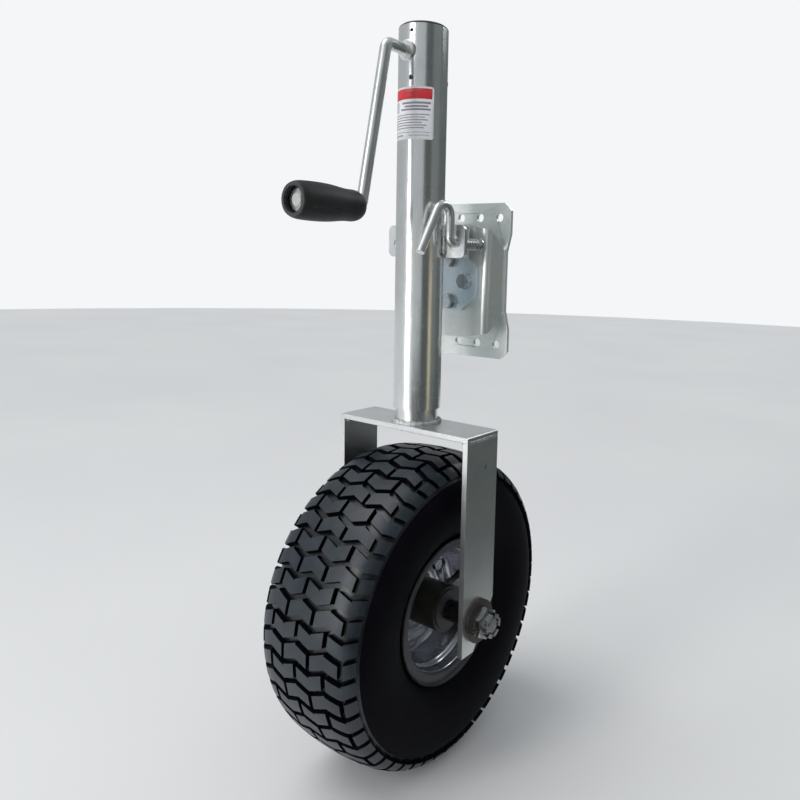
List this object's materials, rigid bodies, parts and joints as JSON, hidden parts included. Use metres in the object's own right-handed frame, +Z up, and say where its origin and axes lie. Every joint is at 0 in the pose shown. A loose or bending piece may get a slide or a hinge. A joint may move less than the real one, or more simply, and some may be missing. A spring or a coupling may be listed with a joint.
{
  "type": "trailer tongue jack",
  "caption": "Swing-up side-wind trailer tongue jack with a bolt-on pivot bracket, sprung lock pin, fork and pneumatic turf wheel.",
  "frame": {"origin": "centre of the mounting plate's rear face, on the swing pivot's axis", "axes": "+Z up the jack's tube, +Y out of the mounting plate's rear face towards the trailer frame, +X along the wheel's axle"},
  "size_m": [0.239, 0.3814, 0.876],
  "materials": {
    "zinc_plated_steel": "bright zinc",
    "zinc_tube": "bright zinc",
    "blue_zinc_plate": "blue zinc",
    "zinc_fastener": "zinc",
    "weld_bead": "zinc over weld",
    "machined_steel": "machined, greased",
    "dark_steel": "black oxide",
    "spring_steel": "zinc wire",
    "brass": "machined",
    "black_plastic": "moulded",
    "label_film": "printed film",
    "rim_paint": "silver paint",
    "tyre_rubber": "moulded",
    "valve_rubber": "moulded"
  },
  "bodies": {
    "bracket": {"mounting_plate": "zinc_plated_steel", "pivot_channel": "zinc_plated_steel", "channel_welds": "weld_bead"},
    "jack": {"pivot_plate": "blue_zinc_plate", "pivot_disc": "blue_zinc_plate", "pivot_retainer": "blue_zinc_plate", "pivot_bolts": "zinc_fastener", "pivot_washers": "zinc_fastener", "pivot_nuts": "zinc_fastener", "saddle": "zinc_plated_steel", "saddle_welds": "weld_bead", "tongue_weld": "weld_bead", "outer_tube": "zinc_tube", "top_cap": "black_plastic", "label": "label_film", "crank_bush": "zinc_plated_steel", "bearing_plate": "machined_steel", "bearing_plugs": "black_plastic", "lower_thrust_washer": "machined_steel", "thrust_balls": "machined_steel", "pin_bush": "zinc_plated_steel", "pin_spring": "spring_steel"},
    "lock_pin": {"pull_pin": "zinc_plated_steel", "pin_collar": "zinc_plated_steel"},
    "crank": {"crank": "zinc_plated_steel", "pinion": "machined_steel", "grip_washer": "zinc_fastener"},
    "grip": {"grip": "black_plastic"},
    "screw": {"lead_screw": "machined_steel", "crown_gear": "machined_steel", "crown_pin": "machined_steel", "upper_thrust_washer": "machined_steel", "snap_ring": "machined_steel"},
    "lift_nut": {"lift_nut": "brass"},
    "leg": {"nut_seat_ring": "machined_steel", "nut_cap_ring": "machined_steel", "leg_tube": "zinc_tube", "leg_weld": "weld_bead", "fork_plate": "zinc_plated_steel", "fork_leg_right": "zinc_plated_steel", "fork_leg_left": "zinc_plated_steel", "fork_welds": "weld_bead", "axle_bolt": "zinc_fastener", "axle_washers": "dark_steel", "axle_nut": "zinc_fastener", "axle_sleeves": "dark_steel"},
    "wheel": {"rim_half_right": "rim_paint", "rim_half_left": "rim_paint", "hub_tube": "rim_paint", "wheel_bearings": "black_plastic", "rim_bolts": "zinc_fastener", "rim_nuts": "zinc_fastener", "tyre": "tyre_rubber", "valve_stem": "valve_rubber", "valve_cap": "valve_rubber"}
  },
  "joints": [
    {"name": "swing", "type": "hinge", "parent": "bracket", "child": "jack", "pos_m": [0, 0, 0], "axis": [0, -1, 0], "range_deg": [0, 90]},
    {"name": "pin_pull", "type": "slide", "parent": "jack", "child": "lock_pin", "axis": [0, -1, 0], "range_m": [-0.0028, 0.012], "stiffness_N_per_m": 300, "springref_m": -0.0028, "deforming": ["pin_spring"]},
    {"name": "crank_turn", "type": "hinge", "parent": "jack", "child": "crank", "pos_m": [0, -0.15, 0.2565], "axis": [0, -1, 0], "range_deg": [0, 36576]},
    {"name": "grip_spin", "type": "hinge", "parent": "crank", "child": "grip", "pos_m": [0, -0.25, 0.079], "axis": [0, 1, 0], "continuous": true},
    {"name": "screw_turn", "type": "hinge", "parent": "jack", "child": "screw", "pos_m": [0, -0.106, 0.2], "axis": [0, 0, 1], "range_deg": [0, 18288]},
    {"name": "lift", "type": "slide", "parent": "jack", "child": "lift_nut", "axis": [0, 0, -1], "range_m": [0, 0.254]},
    {"name": "leg_swivel", "type": "hinge", "parent": "lift_nut", "child": "leg", "pos_m": [0, -0.106, -0.17], "axis": [0, 0, 1], "continuous": true},
    {"name": "wheel_spin", "type": "hinge", "parent": "leg", "child": "wheel", "pos_m": [0, -0.106, -0.3965], "axis": [1, 0, 0], "continuous": true}
  ],
  "couplings": [
    {"joint": "screw_turn", "follows": "crank_turn", "ratio": 0.5},
    {"joint": "lift", "follows": "crank_turn", "m_per_rad": 0.00039789}
  ]
}
